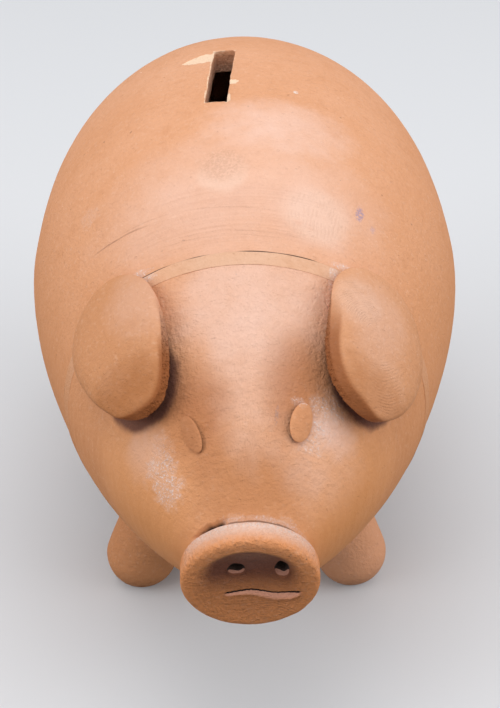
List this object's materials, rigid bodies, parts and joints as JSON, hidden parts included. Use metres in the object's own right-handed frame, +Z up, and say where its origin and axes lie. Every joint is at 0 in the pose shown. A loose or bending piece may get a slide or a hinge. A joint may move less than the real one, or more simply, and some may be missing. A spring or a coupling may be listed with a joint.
{
  "type": "figural animal coin bank",
  "caption": "Hollow thrown terracotta pig money box with a luted head, a disc snout, flopped ears, stub feet and a coin slot in the back.",
  "frame": {"origin": "on the ground, below the middle of the pig's length and width", "axes": "+Z up, -Y towards the snout, +X towards the pig's own left side"},
  "size_m": [0.1, 0.1808, 0.118],
  "materials": {
    "terracotta_thrown": "matte, unglazed, with faint turning rings",
    "terracotta_pressed": "matte, unglazed, with finger marks and rough cut edges",
    "terracotta_slip": "matte, wiped smooth"
  },
  "bodies": {
    "root": {"body_shell": "terracotta_thrown", "head_shell": "terracotta_thrown", "seam_band": "terracotta_slip", "snout_disc": "terracotta_pressed", "left_ear": "terracotta_pressed", "right_ear": "terracotta_pressed", "left_eye": "terracotta_pressed", "right_eye": "terracotta_pressed", "front_left_foot": "terracotta_pressed", "front_right_foot": "terracotta_pressed", "rear_left_foot": "terracotta_pressed", "rear_right_foot": "terracotta_pressed", "tail": "terracotta_pressed"}
  },
  "joints": []
}
